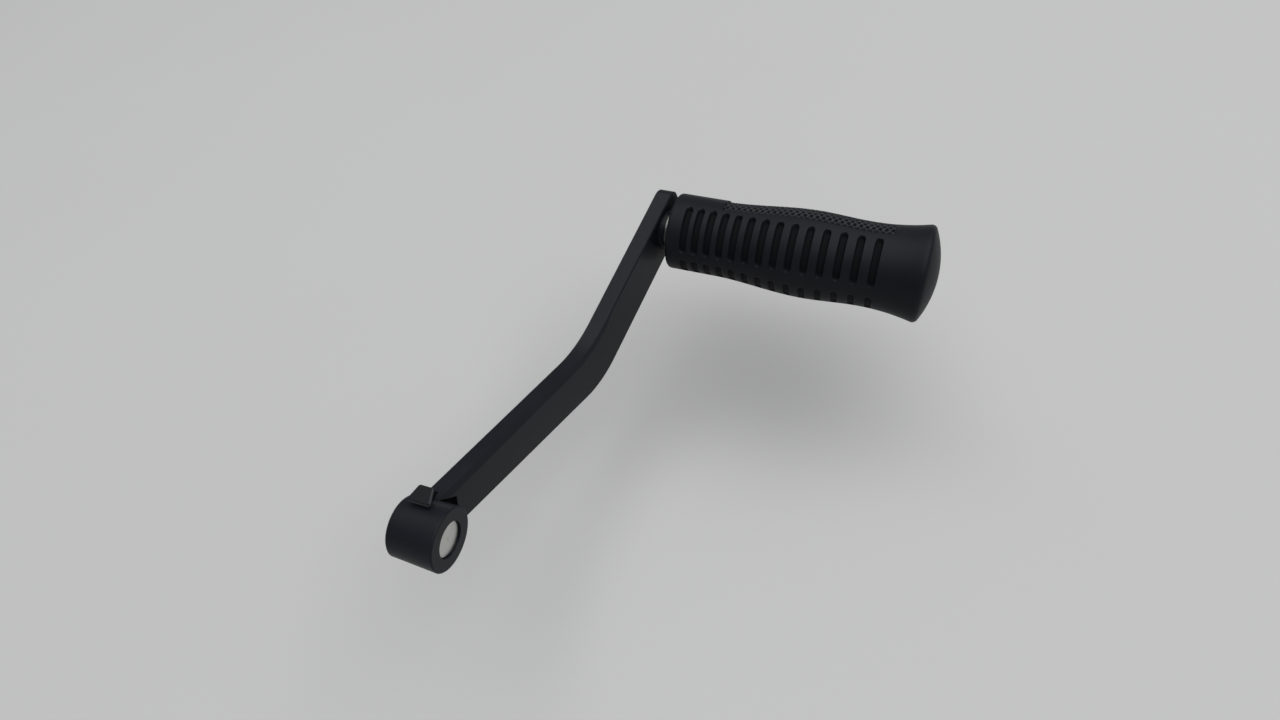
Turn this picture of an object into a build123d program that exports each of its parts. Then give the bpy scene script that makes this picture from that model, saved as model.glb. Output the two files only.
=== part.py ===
"""Hand crank: a dog-leg arm with a latched hub and a free-turning rubber grip.

Frame: millimetres, origin on the shaft's axis at the mouth of the bore in the hub's back face.
+X runs along the shaft's axis towards the grip, +Y along the throw, +Z up.
"""
from build123d import *
import math
import os

# ---------------------------------------------------------------- driving dimensions
# Hub
HUB_LENGTH = 19.2
HUB_RADIUS = 12.2
HUB_BACK_RADIUS = 11.3
HUB_RIM_CHAMFER = 0.5
HUB_RIM_FILLET = 0.6

# Drive bush
BUSH_RADIUS = 6.95
BUSH_RECESS = 1.0
BUSH_RIM_CHAMFER = 0.4
BUSH_DIMPLE_RADIUS = 0.9
BUSH_DIMPLE_DEPTH = 0.5
SHAFT_RADIUS = 5.0
SHAFT_BORE_DEPTH = 15.5
KEYWAY_WIDTH = 2.5
KEYWAY_DEPTH = 1.0

# Arm: two straight legs in one leaning plate
THROW = 180.0
ELBOW_Y = 111.5
ELBOW_Z = -26.2
ARM_THICKNESS = 7.5
ARM_LEAN = 8.6
ARM_FRONT_AT_HUB = 9.6
ARM_ROOT_ABOVE = 8.1
ARM_ROOT_BELOW = 10.8
ARM_WIDTH = 25.3
ARM_TIP_WIDTH = 24.6
ARM_TIP_REACH = 15.3
ARM_TIP_CORNER = 5.0
ELBOW_INNER_RADIUS = 45.0
ELBOW_OUTER_RADIUS = 40.0
ELBOW_INNER_SETBACK = 2.5
ARM_EDGE_CHAMFER = 0.5

# Bevel along the lower leg's upper front edge, fading out past the elbow
BEVEL_WIDTH = 3.3
BEVEL_DEPTH = 0.9
BEVEL_START = 6.0
BEVEL_ELBOW_STEPS = 4
BEVEL_SHARE_AFTER_ELBOW = 0.6
BEVEL_FADE = 13.0

# Relief in the arm's front face, just clear of the hub
RELIEF_DEPTH = 2.3
RELIEF_CORNER_Y = 17.3
RELIEF_CORNER_Z = -0.4
RELIEF_UPPER_SLOPE = 42.0
RELIEF_LOWER_SLOPE = 10.6

# Latch lever
LATCH_PIVOT_Y = 14.0
LATCH_PIVOT_Z = 0.8
LATCH_PIN_RADIUS = 1.0
LATCH_EYE_RADIUS = 2.1
LATCH_WEB_WIDTH = 2.4
LATCH_WEB_CENTRE = 6.8
LATCH_NOSE_HEIGHT = 2.0
LATCH_NOSE_Z = -2.2
LATCH_PAD_THICKNESS = 1.4
LATCH_PAD_LENGTH = 7.8
LATCH_PAD_LEFT = 4.0
LATCH_PAD_WIDTH = 9.0
LATCH_PAD_TOP_WIDTH = 5.6
LATCH_PAD_TILT = 16.2
LATCH_PAD_LIFT = 1.1
LATCH_PAD_START_Y = 3.2
LATCH_TRAVEL = 4.0

# Latch spring
LATCH_SPRING_RADIUS = 1.1
LATCH_SPRING_WIRE = 0.2
LATCH_SPRING_TURNS = 3
LATCH_SPRING_SEAT = 1.3

# Grip spindle and what sits on it
SPINDLE_RADIUS = 5.0
STUD_RADIUS = 4.0
BOSS_RADIUS = 9.5
BOSS_HEIGHT = 1.2
NUT_ACROSS_FLATS = 13.0
NUT_THICKNESS = 4.0
NUT_CHAMFER = 0.6
SPOT_DEPTH = 1.1
STUD_PROUD = 0.8
THRUST_WASHER_RADIUS = 8.0
THRUST_WASHER_THICKNESS = 1.0
CONE_WASHER_RADIUS = 7.6
CONE_WASHER_THICKNESS = 0.7
CONE_WASHER_HEIGHT = 1.2
END_WASHER_RADIUS = 8.0
END_WASHER_THICKNESS = 1.2
RING_THICKNESS = 1.0
RING_WIDTH = 2.2
GROOVE_DEPTH = 0.7
SPINDLE_END = 1.6

# Grip
GRIP_BUSH_RADIUS = 7.0
GRIP_BUSH_LENGTH = 12.0
GRIP_FLANGE_RADIUS = 9.0
GRIP_FLANGE_THICKNESS = 1.1
CORE_RADIUS = 14.0
CORE_SETBACK = 8.0
SLEEVE_LENGTH = 113.6
SLEEVE_COLLAR_RADIUS = 17.5
SLEEVE_SWELL_RADIUS = 18.8
SLEEVE_BULGE_RADIUS = 20.0
SLEEVE_NECK_RADIUS = 18.75
SLEEVE_FLARE_RADIUS = 21.8
SLEEVE_COLLAR_END = 22.9
SLEEVE_SWELL_AT = 42.5
SLEEVE_BULGE_AT = 64.5
SLEEVE_NECK_AT = 86.5
SLEEVE_DOME = 5.6
SLEEVE_END_WALL = 7.0
SLEEVE_RIM_FILLET = 2.5
FLARE_DIRECTION = (1.0, 0.27)
SLEEVE_COLLAR_FILLET = 1.2
SLOT_COUNT = 14
SLOT_FIRST = 8.6
SLOT_PITCH = 5.42
SLOT_PITCH_GROWTH = 0.082
SLOT_WIDTH = 3.2
FRONT_SLOT_ANGLE = 135.0
FRONT_SLOT_LENGTH = 20.8
FRONT_SLOT_DEPTH = 1.7
REAR_SLOT_ANGLE = 205.0
REAR_SLOT_LENGTH = 12.0
REAR_SLOT_DEPTH = 0.8
KNURL_START = 27.6
KNURL_LENGTH = 72.8
KNURL_HALF_ANGLE = 91.0
KNURL_RECESS = 0.55
KNURL_RISE = 0.1
KNURL_PIT_PITCH = 7.6
KNURL_PIT_WIDTH = 3.8
KNURL_PIT_DEPTH = 0.8
KNURL_PIT_FLOOR = 0.8

# Clearances
RUNNING_CLEARANCE = 0.05
SEAT_CLEARANCE = 0.05
SIDE_CLEARANCE = 0.3
AXIAL_PLAY = 0.2

# ---------------------------------------------------------------- derived places
lean_slope = math.tan(math.radians(ARM_LEAN))
arm_run = ARM_THICKNESS / math.cos(math.radians(ARM_LEAN))
lower_angle = math.atan2(ELBOW_Z, ELBOW_Y)
upper_angle = math.atan2(-ELBOW_Z, THROW - ELBOW_Y)

arm_front_at_grip = ARM_FRONT_AT_HUB + lean_slope * THROW
arm_back_at_grip = arm_front_at_grip - arm_run
boss_face = arm_front_at_grip + BOSS_HEIGHT
spot_face = arm_back_at_grip + SPOT_DEPTH

thrust_face = boss_face + THRUST_WASHER_THICKNESS
cone_face = thrust_face + CONE_WASHER_HEIGHT
grip_start = cone_face + AXIAL_PLAY + GRIP_FLANGE_THICKNESS
sleeve_rim = grip_start + SLEEVE_LENGTH
core_end = sleeve_rim - CORE_SETBACK
outer_flange_face = core_end + GRIP_FLANGE_THICKNESS
end_washer_face = outer_flange_face + AXIAL_PLAY
ring_face = end_washer_face + END_WASHER_THICKNESS
spindle_end = ring_face + RING_THICKNESS + SPINDLE_END

grip_axis = Axis((0, THROW, 0), (1, 0, 0))
shaft_axis = Axis((0, 0, 0), (1, 0, 0))
grip_section = Plane(origin=(0, THROW, 0), x_dir=(1, 0, 0), z_dir=(0, 0, 1))
hub_section = Plane(origin=(0, 0, 0), x_dir=(1, 0, 0), z_dir=(0, 0, 1))


def side_plane(x):
    """The plane across the shaft at x, with sketch axes along the throw and up."""
    return Plane(origin=(x, 0, 0), x_dir=(0, 1, 0), z_dir=(1, 0, 0))


def grip_plane(x):
    """The plane across the grip's axis at x, with sketch axes along the throw and up."""
    return Plane(origin=(x, THROW, 0), x_dir=(0, 1, 0), z_dir=(1, 0, 0))


def leg_point(start, angle, along, across):
    """A point of a leg's outline: along its direction, and across it to the upper side."""
    y = start[0] + along * math.cos(angle) - across * math.sin(angle)
    z = start[1] + along * math.sin(angle) + across * math.cos(angle)
    return (y, z)


def elbow_point(side):
    """The sharp corner of the outline at the elbow, on the upper (+1) or lower (-1) side."""
    middle = (lower_angle + upper_angle) / 2
    reach = side * ARM_WIDTH / 2 / math.cos((upper_angle - lower_angle) / 2)
    return leg_point((ELBOW_Y, ELBOW_Z), middle, 0, reach)


hub_centre = (0, 0)
tip_centre = (THROW, 0)
root_upper = leg_point(hub_centre, lower_angle, 0, ARM_ROOT_ABOVE)
root_lower = leg_point(hub_centre, lower_angle, 0, -ARM_ROOT_BELOW)
tip_upper = leg_point(tip_centre, upper_angle, ARM_TIP_REACH, ARM_TIP_WIDTH / 2)
tip_lower = leg_point(tip_centre, upper_angle, ARM_TIP_REACH, -ARM_TIP_WIDTH / 2)
elbow_upper = leg_point(elbow_point(1), upper_angle, -ELBOW_INNER_SETBACK, 0)
elbow_lower = elbow_point(-1)

front_plane = Plane(origin=(ARM_FRONT_AT_HUB, 0, 0), x_dir=(lean_slope, 1, 0), z_dir=(1, -lean_slope, 0))
back_plane = front_plane.offset(-ARM_THICKNESS)

# Latch: the thumb pad's inner foot, the lever's web and the room that both need
pad_tilt = math.radians(LATCH_PAD_TILT)
latch_swing = math.radians(LATCH_TRAVEL)
pad_foot_z = math.sqrt((HUB_RADIUS + LATCH_PAD_LIFT) ** 2 - LATCH_PAD_START_Y ** 2)
pad_head_y = LATCH_PAD_START_Y + LATCH_PAD_LENGTH * math.cos(pad_tilt)
pad_head_z = pad_foot_z - LATCH_PAD_LENGTH * math.sin(pad_tilt)
pad_plane = Plane(
    origin=(LATCH_PAD_LEFT, LATCH_PAD_START_Y, pad_foot_z),
    x_dir=(1, 0, 0),
    z_dir=(0, math.sin(pad_tilt), math.cos(pad_tilt)),
)
slot_left = LATCH_WEB_CENTRE - LATCH_WEB_WIDTH / 2 - SIDE_CLEARANCE
slot_width = LATCH_WEB_WIDTH + 2 * SIDE_CLEARANCE
nose_top = LATCH_NOSE_Z + LATCH_NOSE_HEIGHT / 2
nose_bottom = LATCH_NOSE_Z - LATCH_NOSE_HEIGHT / 2
nose_tip_y = math.sqrt((SHAFT_RADIUS + RUNNING_CLEARANCE) ** 2 - nose_top ** 2)
nose_slot_bottom = nose_bottom - (LATCH_PIVOT_Y - nose_tip_y) * latch_swing - SIDE_CLEARANCE
nose_slot_top = nose_top + SIDE_CLEARANCE
web_left = LATCH_PIVOT_Y - LATCH_EYE_RADIUS
web_right = LATCH_PIVOT_Y + LATCH_EYE_RADIUS / 2
neck_right = LATCH_PIVOT_Y - LATCH_EYE_RADIUS * 0.43
eye_top = LATCH_PIVOT_Z + LATCH_EYE_RADIUS

spring_x = LATCH_PAD_LEFT + LATCH_PAD_WIDTH * 0.62
spring_y = LATCH_PAD_START_Y + LATCH_PAD_LENGTH * 0.36
spring_reach = LATCH_SPRING_RADIUS + LATCH_SPRING_WIRE
spring_floor = math.sqrt(HUB_BACK_RADIUS ** 2 - spring_y ** 2) - LATCH_SPRING_SEAT
spring_top = pad_foot_z - (spring_y + spring_reach - LATCH_PAD_START_Y) * math.tan(pad_tilt)

os.makedirs("parts", exist_ok=True)


def save(piece, label):
    """Label a finished piece and write it as its own STEP file."""
    piece.part.label = label
    export_step(piece.part, f"parts/{label}.step")


def corner(outline, place):
    """The corner of a sketch that lies nearest to a place in the sketch's own axes."""
    return outline.vertices().sort_by_distance(Vector(place[0], place[1], 0))[0]


def ring(start, thickness, outer, inner):
    """A flat ring round the grip's axis."""
    with BuildSketch(grip_plane(start)) as flat:
        Circle(outer)
        Circle(inner, mode=Mode.SUBTRACT)
    extrude(flat.sketch, amount=thickness)


# ---------------------------------------------------------------- crank arm
def bevel_section(place, side_angle, share):
    """The plane and outline of the bevel's cutter at one place of the arm's upper front edge."""
    front = ARM_FRONT_AT_HUB + lean_slope * place[0]
    outward = (0, -math.sin(side_angle), math.cos(side_angle))
    forward = (0, math.cos(side_angle), math.sin(side_angle))
    section = Plane(origin=(front, place[0], place[1]), x_dir=outward, z_dir=forward)
    inner = (-(share + 1) * BEVEL_WIDTH, BEVEL_DEPTH)
    outer = (BEVEL_WIDTH, -(share + 1) * BEVEL_DEPTH)
    return section, [inner, outer, (outer[0], inner[1])]


def bevel_places():
    """Places along the upper edge: the straight leg, the elbow's arc, and the fade after it."""
    leg_angle = math.atan2(elbow_upper[1] - root_upper[1], elbow_upper[0] - root_upper[0])
    end_angle = math.atan2(tip_upper[1] - elbow_upper[1], tip_upper[0] - elbow_upper[0])
    tangent = ELBOW_INNER_RADIUS * math.tan((end_angle - leg_angle) / 2)
    arc_start = leg_point(elbow_upper, leg_angle, -tangent, 0)
    arc_centre = leg_point(arc_start, leg_angle, 0, ELBOW_INNER_RADIUS)
    places = [
        (leg_point(root_upper, leg_angle, BEVEL_START, 0), leg_angle, 1.0),
        (arc_start, leg_angle, 1.0),
    ]
    for step in range(1, BEVEL_ELBOW_STEPS + 1):
        part_way = step / BEVEL_ELBOW_STEPS
        angle = leg_angle + (end_angle - leg_angle) * part_way
        share = 1 + (BEVEL_SHARE_AFTER_ELBOW - 1) * part_way
        places.append((leg_point(arc_centre, angle, 0, -ELBOW_INNER_RADIUS), angle, share))
    places.append((leg_point(elbow_upper, end_angle, tangent + BEVEL_FADE, 0), end_angle, 0.0))
    return places


with BuildPart() as crank_arm:
    # The dog-leg plate: its side walls run along the shaft, and two leaning planes face it off.
    with BuildSketch(side_plane(0)) as arm_outline:
        with BuildLine():
            Polyline(root_upper, elbow_upper, tip_upper, tip_lower, elbow_lower, root_lower, close=True)
        make_face()
        fillet(corner(arm_outline, tip_upper), radius=ARM_TIP_CORNER)
        fillet(corner(arm_outline, tip_lower), radius=ARM_TIP_CORNER)
        fillet(corner(arm_outline, elbow_upper), radius=ELBOW_INNER_RADIUS)
        fillet(corner(arm_outline, elbow_lower), radius=ELBOW_OUTER_RADIUS)
    extrude(amount=boss_face + HUB_LENGTH)
    split(bisect_by=front_plane, keep=Keep.BOTTOM)
    split(bisect_by=back_plane, keep=Keep.TOP)
    flat_sides = crank_arm.faces().filter_by(front_plane)
    chamfer(flat_sides.edges(), length=ARM_EDGE_CHAMFER)

    # Bevel along the upper front edge
    for place, side_angle, share in bevel_places():
        bevel_plane, bevel_outline = bevel_section(place, side_angle, share)
        with BuildSketch(bevel_plane):
            Polygon(*bevel_outline, align=None)
    loft(ruled=True, mode=Mode.SUBTRACT)

    # Relief in the front face, next to the hub
    relief_corner = (RELIEF_CORNER_Y, RELIEF_CORNER_Z)
    upper_end = leg_point(relief_corner, math.radians(180 - RELIEF_UPPER_SLOPE), ARM_WIDTH, 0)
    lower_end = leg_point(relief_corner, math.radians(270 - RELIEF_LOWER_SLOPE), ARM_WIDTH, 0)
    with BuildSketch(front_plane):
        Polygon(upper_end, relief_corner, lower_end, (-ARM_WIDTH, 0), align=None)
    extrude(amount=-RELIEF_DEPTH, mode=Mode.SUBTRACT)

    # Tip boss on the front face and spot face on the back, both square to the grip's axis
    with BuildSketch(grip_plane(arm_front_at_grip - arm_run / 2)):
        Circle(BOSS_RADIUS)
    extrude(amount=boss_face - arm_front_at_grip + arm_run / 2)
    with BuildSketch(grip_plane(spot_face)):
        Circle(NUT_ACROSS_FLATS / math.sqrt(3) + SIDE_CLEARANCE)
    extrude(amount=-arm_run, mode=Mode.SUBTRACT)
    with BuildSketch(grip_plane(boss_face)):
        Circle(STUD_RADIUS + SEAT_CLEARANCE)
    extrude(amount=-2 * arm_run, mode=Mode.SUBTRACT)

    # Hub barrel with a little draft, chamfered behind and rounded in front
    with BuildSketch(hub_section) as hub_profile:
        with BuildLine():
            Polyline(
                (0, 0),
                (0, HUB_BACK_RADIUS - HUB_RIM_CHAMFER),
                (HUB_RIM_CHAMFER, HUB_BACK_RADIUS),
                (HUB_LENGTH, HUB_RADIUS),
                (HUB_LENGTH, 0),
                close=True,
            )
        make_face()
        fillet(corner(hub_profile, (HUB_LENGTH, HUB_RADIUS)), radius=HUB_RIM_FILLET)
    revolve(axis=shaft_axis)
    with BuildSketch(side_plane(0)):
        Circle(BUSH_RADIUS)
    extrude(amount=HUB_LENGTH, mode=Mode.SUBTRACT)

    # Slot for the latch: the eye's chamber, its way out to the pad, and the nose's channel
    with BuildSketch(side_plane(slot_left)):
        Polygon(
            (web_left - SIDE_CLEARANCE, nose_slot_bottom),
            (LATCH_PIVOT_Y + LATCH_EYE_RADIUS + SIDE_CLEARANCE, nose_slot_bottom),
            (LATCH_PIVOT_Y + LATCH_EYE_RADIUS + SIDE_CLEARANCE, eye_top + SIDE_CLEARANCE),
            (web_left - SIDE_CLEARANCE, eye_top + SIDE_CLEARANCE),
            align=None,
        )
        Polygon(
            (web_left - SIDE_CLEARANCE, LATCH_PIVOT_Z),
            (neck_right + SIDE_CLEARANCE, LATCH_PIVOT_Z),
            (neck_right + SIDE_CLEARANCE, HUB_RADIUS),
            (HUB_RADIUS * math.cos(math.radians(51)), HUB_RADIUS),
            (HUB_RADIUS * math.cos(math.radians(51)), HUB_RADIUS * math.sin(math.radians(51))),
            align=None,
        )
        Polygon(
            (0, nose_slot_bottom),
            (LATCH_PIVOT_Y, nose_slot_bottom),
            (LATCH_PIVOT_Y, nose_slot_top),
            (0, nose_slot_top),
            align=None,
        )
    extrude(amount=slot_width, mode=Mode.SUBTRACT)

    # Blind hole for the latch's pin, from the front, and the spring's seat in the hub
    with BuildSketch(side_plane(slot_left - SIDE_CLEARANCE)):
        with Locations((LATCH_PIVOT_Y, LATCH_PIVOT_Z)):
            Circle(LATCH_PIN_RADIUS)
    extrude(amount=HUB_LENGTH, mode=Mode.SUBTRACT)
    with BuildSketch(Plane.XY.offset(spring_floor)):
        with Locations((spring_x, spring_y)):
            Circle(spring_reach + 2 * SEAT_CLEARANCE)
    extrude(amount=HUB_RADIUS, mode=Mode.SUBTRACT)


# ---------------------------------------------------------------- drive bush
with BuildPart() as drive_bush:
    bush_length = HUB_LENGTH - BUSH_RECESS
    with BuildSketch(hub_section) as bush_profile:
        with BuildLine():
            Polyline(
                (SHAFT_BORE_DEPTH, 0),
                (SHAFT_BORE_DEPTH, SHAFT_RADIUS),
                (0, SHAFT_RADIUS),
                (0, BUSH_RADIUS),
                (bush_length - BUSH_RIM_CHAMFER, BUSH_RADIUS),
                (bush_length, BUSH_RADIUS - BUSH_RIM_CHAMFER),
                (bush_length, BUSH_DIMPLE_RADIUS),
                (bush_length - BUSH_DIMPLE_DEPTH, 0),
                close=True,
            )
        make_face()
    revolve(axis=shaft_axis)
    with BuildSketch(side_plane(0)):
        with Locations((-SHAFT_RADIUS, 0)):
            Rectangle(2 * KEYWAY_DEPTH, KEYWAY_WIDTH)
    extrude(amount=SHAFT_BORE_DEPTH, mode=Mode.SUBTRACT)
    with BuildSketch(side_plane(slot_left)):
        Polygon(
            (0, nose_slot_bottom),
            (HUB_RADIUS, nose_slot_bottom),
            (HUB_RADIUS, nose_slot_top),
            (0, nose_slot_top),
            align=None,
        )
    extrude(amount=slot_width, mode=Mode.SUBTRACT)


# ---------------------------------------------------------------- latch
with BuildPart() as latch_lever:
    # Web: eye, nose arm and the neck that carries the thumb pad
    with BuildSketch(side_plane(slot_left + SIDE_CLEARANCE)):
        with Locations((LATCH_PIVOT_Y, LATCH_PIVOT_Z)):
            Circle(LATCH_EYE_RADIUS)
        Polygon(
            (web_left, LATCH_PIVOT_Z),
            (LATCH_PIVOT_Y + LATCH_EYE_RADIUS, LATCH_PIVOT_Z),
            (web_right, nose_bottom),
            (nose_tip_y, nose_bottom),
            (nose_tip_y, nose_top),
            (web_left, nose_top),
            align=None,
        )
        Polygon(
            (web_left, LATCH_PIVOT_Z),
            (LATCH_PIVOT_Y, eye_top),
            (neck_right, eye_top),
            (neck_right - LATCH_PIN_RADIUS / 2, (eye_top + pad_head_z) / 2),
            (pad_head_y, pad_head_z),
            (pad_head_y - LATCH_PAD_THICKNESS, pad_head_z + LATCH_PAD_THICKNESS * math.tan(pad_tilt)),
            (neck_right - LATCH_EYE_RADIUS * 1.2, (eye_top + pad_head_z) / 2),
            align=None,
        )
        with Locations((LATCH_PIVOT_Y, LATCH_PIVOT_Z)):
            Circle(LATCH_PIN_RADIUS + RUNNING_CLEARANCE, mode=Mode.SUBTRACT)
    extrude(amount=LATCH_WEB_WIDTH)

    # Thumb pad: one end square, the other slanted
    with BuildSketch(pad_plane) as pad_outline:
        Polygon(
            (0, 0),
            (LATCH_PAD_WIDTH, 0),
            (LATCH_PAD_TOP_WIDTH, LATCH_PAD_LENGTH),
            (0, LATCH_PAD_LENGTH),
            align=None,
        )
        fillet(pad_outline.vertices(), radius=LATCH_PAD_THICKNESS / 2)
    extrude(amount=LATCH_PAD_THICKNESS)

with BuildPart() as latch_pin:
    with BuildSketch(side_plane(slot_left - SIDE_CLEARANCE)):
        with Locations((LATCH_PIVOT_Y, LATCH_PIVOT_Z)):
            Circle(LATCH_PIN_RADIUS)
    relief_floor = ARM_FRONT_AT_HUB + lean_slope * web_left - RELIEF_DEPTH / math.cos(math.radians(ARM_LEAN))
    extrude(amount=relief_floor - slot_left)

with BuildPart() as latch_spring:
    with BuildLine(Plane(origin=(spring_x, spring_y, spring_floor + LATCH_SPRING_WIRE))) as coil:
        coil_height = spring_top - spring_floor - 2 * LATCH_SPRING_WIRE - SEAT_CLEARANCE
        Helix(pitch=coil_height / LATCH_SPRING_TURNS, height=coil_height, radius=LATCH_SPRING_RADIUS)
    with BuildSketch(Plane(origin=coil.line @ 0, z_dir=coil.line % 0)):
        RegularPolygon(LATCH_SPRING_WIRE, side_count=6)
    sweep()


# ---------------------------------------------------------------- spindle
with BuildPart() as grip_spindle:
    with BuildSketch(grip_section) as spindle_profile:
        with BuildLine():
            stud_end = spot_face - NUT_THICKNESS - STUD_PROUD
            groove_radius = SPINDLE_RADIUS - GROOVE_DEPTH
            Polyline(
                (stud_end, 0),
                (stud_end, STUD_RADIUS),
                (boss_face, STUD_RADIUS),
                (boss_face, SPINDLE_RADIUS),
                (ring_face, SPINDLE_RADIUS),
                (ring_face, groove_radius),
                (ring_face + RING_THICKNESS, groove_radius),
                (ring_face + RING_THICKNESS, SPINDLE_RADIUS),
                (spindle_end, SPINDLE_RADIUS),
                (spindle_end, 0),
                close=True,
            )
        make_face()
        chamfer(corner(spindle_profile, (stud_end, STUD_RADIUS)), length=NUT_CHAMFER)
        chamfer(corner(spindle_profile, (spindle_end, SPINDLE_RADIUS)), length=NUT_CHAMFER)
    revolve(axis=grip_axis)

with BuildPart() as spindle_nut:
    with BuildSketch(grip_plane(spot_face)):
        RegularPolygon(radius=NUT_ACROSS_FLATS / 2, side_count=6, major_radius=False)
        Circle(STUD_RADIUS + SEAT_CLEARANCE, mode=Mode.SUBTRACT)
    extrude(amount=-NUT_THICKNESS)
    with BuildSketch(grip_section):
        with BuildLine():
            Polyline(
                (spot_face, 0),
                (spot_face, NUT_ACROSS_FLATS),
                (spot_face - NUT_THICKNESS + NUT_CHAMFER, NUT_ACROSS_FLATS / 2 + 2 * NUT_CHAMFER),
                (spot_face - NUT_THICKNESS, NUT_ACROSS_FLATS / 2),
                (spot_face - NUT_THICKNESS, 0),
                close=True,
            )
        make_face()
    revolve(axis=grip_axis, mode=Mode.INTERSECT)

with BuildPart() as thrust_washer:
    ring(boss_face, THRUST_WASHER_THICKNESS, THRUST_WASHER_RADIUS, SPINDLE_RADIUS + SIDE_CLEARANCE)

with BuildPart() as cone_washer:
    with BuildSketch(grip_section):
        with BuildLine():
            cone_bore = SPINDLE_RADIUS + SIDE_CLEARANCE
            Polyline(
                (thrust_face, CONE_WASHER_RADIUS),
                (thrust_face + CONE_WASHER_THICKNESS, CONE_WASHER_RADIUS),
                (cone_face, cone_bore),
                (cone_face - CONE_WASHER_THICKNESS, cone_bore),
                close=True,
            )
        make_face()
    revolve(axis=grip_axis)

with BuildPart() as end_washer:
    ring(end_washer_face, END_WASHER_THICKNESS, END_WASHER_RADIUS, SPINDLE_RADIUS + SIDE_CLEARANCE)

with BuildPart() as retaining_ring:
    ring_inner = SPINDLE_RADIUS - GROOVE_DEPTH + SEAT_CLEARANCE
    with BuildSketch(grip_plane(ring_face)):
        Circle(ring_inner + RING_WIDTH)
        Circle(ring_inner, mode=Mode.SUBTRACT)
        with Locations((ring_inner + RING_WIDTH / 2, 0)):
            Rectangle(2 * RING_WIDTH, RING_WIDTH, mode=Mode.SUBTRACT)
    extrude(amount=RING_THICKNESS)


# ---------------------------------------------------------------- grip
with BuildPart() as inner_bush:
    ring(grip_start, GRIP_BUSH_LENGTH, GRIP_BUSH_RADIUS, SPINDLE_RADIUS + RUNNING_CLEARANCE)
    ring(grip_start, -GRIP_FLANGE_THICKNESS, GRIP_FLANGE_RADIUS, SPINDLE_RADIUS + RUNNING_CLEARANCE)

with BuildPart() as outer_bush:
    ring(core_end, -GRIP_BUSH_LENGTH, GRIP_BUSH_RADIUS, SPINDLE_RADIUS + RUNNING_CLEARANCE)
    ring(core_end, GRIP_FLANGE_THICKNESS, GRIP_FLANGE_RADIUS, SPINDLE_RADIUS + RUNNING_CLEARANCE)

with BuildPart() as grip_core:
    ring(grip_start, core_end - grip_start, CORE_RADIUS, GRIP_BUSH_RADIUS + SEAT_CLEARANCE)


def sleeve_side(inset):
    """Places along the sleeve's side, collar to flare, at a depth below its surface."""
    shape = [
        (0, SLEEVE_COLLAR_RADIUS),
        (SLEEVE_COLLAR_END, SLEEVE_COLLAR_RADIUS),
        (SLEEVE_SWELL_AT, SLEEVE_SWELL_RADIUS),
        (SLEEVE_BULGE_AT, SLEEVE_BULGE_RADIUS),
        (SLEEVE_NECK_AT, SLEEVE_NECK_RADIUS),
        (SLEEVE_LENGTH, SLEEVE_FLARE_RADIUS),
    ]
    return [(grip_start + place, radius - inset) for place, radius in shape]


def draw_plane(angle, distance):
    """The plane square to a direction round the grip's axis, at a distance from the axis."""
    draw = Vector(0, math.cos(math.radians(angle)), math.sin(math.radians(angle)))
    return Plane(origin=Vector(0, THROW, 0) + draw * distance, x_dir=(1, 0, 0), z_dir=draw)


def cut_slots(angle, length, depth):
    """Cut one panel of round-ended slots along its draw direction, then fill them up to their floor."""
    with BuildSketch(draw_plane(angle, CORE_RADIUS)) as panel:
        for number in range(SLOT_COUNT):
            place = SLOT_FIRST + SLOT_PITCH * number + SLOT_PITCH_GROWTH * number ** 2
            with Locations((grip_start + place, 0)):
                SlotOverall(length, SLOT_WIDTH, rotation=90)
    extrude(panel.sketch, amount=SLEEVE_FLARE_RADIUS, mode=Mode.SUBTRACT)
    with BuildSketch(grip_section) as filling:
        with BuildLine():
            floor = sleeve_side(depth)
            floor_start = (grip_start + SLEEVE_COLLAR_FILLET, floor[0][1])
            Polyline(floor_start, *floor[1:], (floor[-1][0], 0), (floor_start[0], 0), close=True)
        make_face()
    revolve(filling.sketch, axis=grip_axis)


def round_plane(angle):
    """The half plane through the grip's axis at an angle round it, x along and y outwards."""
    turn = math.radians(angle)
    return Plane(origin=(0, THROW, 0), x_dir=(1, 0, 0), z_dir=(0, -math.sin(turn), math.cos(turn)))


def side_radius(place):
    """The sleeve's radius at a place along it, read between the named ones."""
    side = sleeve_side(0)
    for (start, low), (end, high) in zip(side, side[1:]):
        if place <= end:
            return low + (high - low) * (place - start) / (end - start)


def knurl_floor():
    """The palm panel's floor, from its full depth to where it has risen through the surface."""
    start = grip_start + KNURL_START
    end = grip_start + SLEEVE_NECK_AT
    floor = []
    for place in (start, grip_start + SLEEVE_SWELL_AT, grip_start + SLEEVE_BULGE_AT, end):
        inset = KNURL_RECESS - (KNURL_RECESS + KNURL_RISE) * (place - start) / (end - start)
        floor.append((place, side_radius(place) - inset))
    return floor


def knurl_places():
    """Planes of the knurl's pits: staggered from row to row, each set square to the surface."""
    row_angle = math.degrees(KNURL_PIT_PITCH / 2 / SLEEVE_BULGE_RADIUS)
    rows = int(KNURL_HALF_ANGLE / row_angle - 0.5)
    pit_length = KNURL_PIT_WIDTH * math.sqrt(2)
    columns = int((KNURL_LENGTH - pit_length) / KNURL_PIT_PITCH)
    floor = knurl_floor()
    places = []
    for row in range(-rows, rows + 1):
        draw = draw_plane(row * row_angle, 0).z_dir
        for column in range(columns + 1 - row % 2):
            steps = column + row % 2 / 2
            place = floor[0][0] + pit_length / 2 + steps * KNURL_PIT_PITCH
            share = (place - floor[0][0]) / (floor[-1][0] - floor[0][0])
            lowered = max(0, KNURL_RECESS * (1 - share))
            centre = Vector(place, THROW, 0) + draw * (side_radius(place) - lowered + KNURL_PIT_DEPTH)
            places.append(Plane(origin=centre, x_dir=(1, 0, 0), z_dir=draw))
    return places


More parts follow.
